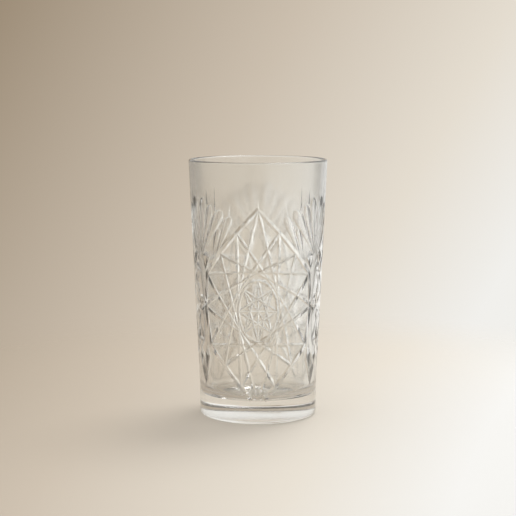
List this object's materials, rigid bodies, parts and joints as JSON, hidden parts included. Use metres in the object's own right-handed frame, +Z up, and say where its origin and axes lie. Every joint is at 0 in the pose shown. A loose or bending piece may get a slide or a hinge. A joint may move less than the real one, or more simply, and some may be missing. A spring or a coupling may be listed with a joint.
{
  "type": "tall tumbler",
  "caption": "Tall conical drinking glass of clear pressed glass, with a thick base, a plain rim and foot, and cut star panels between fans on its wall.",
  "frame": {"origin": "centre of the circle that the foot stands on", "axes": "+Z up along the glass's axis, through the middle of the mouth; -Y towards the middle of one star panel"},
  "size_m": [0.086, 0.086, 0.16],
  "materials": {
    "clear_glass": "clear, fire-polished, with crisp pressed mitre cuts on the outside"
  },
  "bodies": {
    "root": {"tumbler": "clear_glass"}
  },
  "joints": []
}
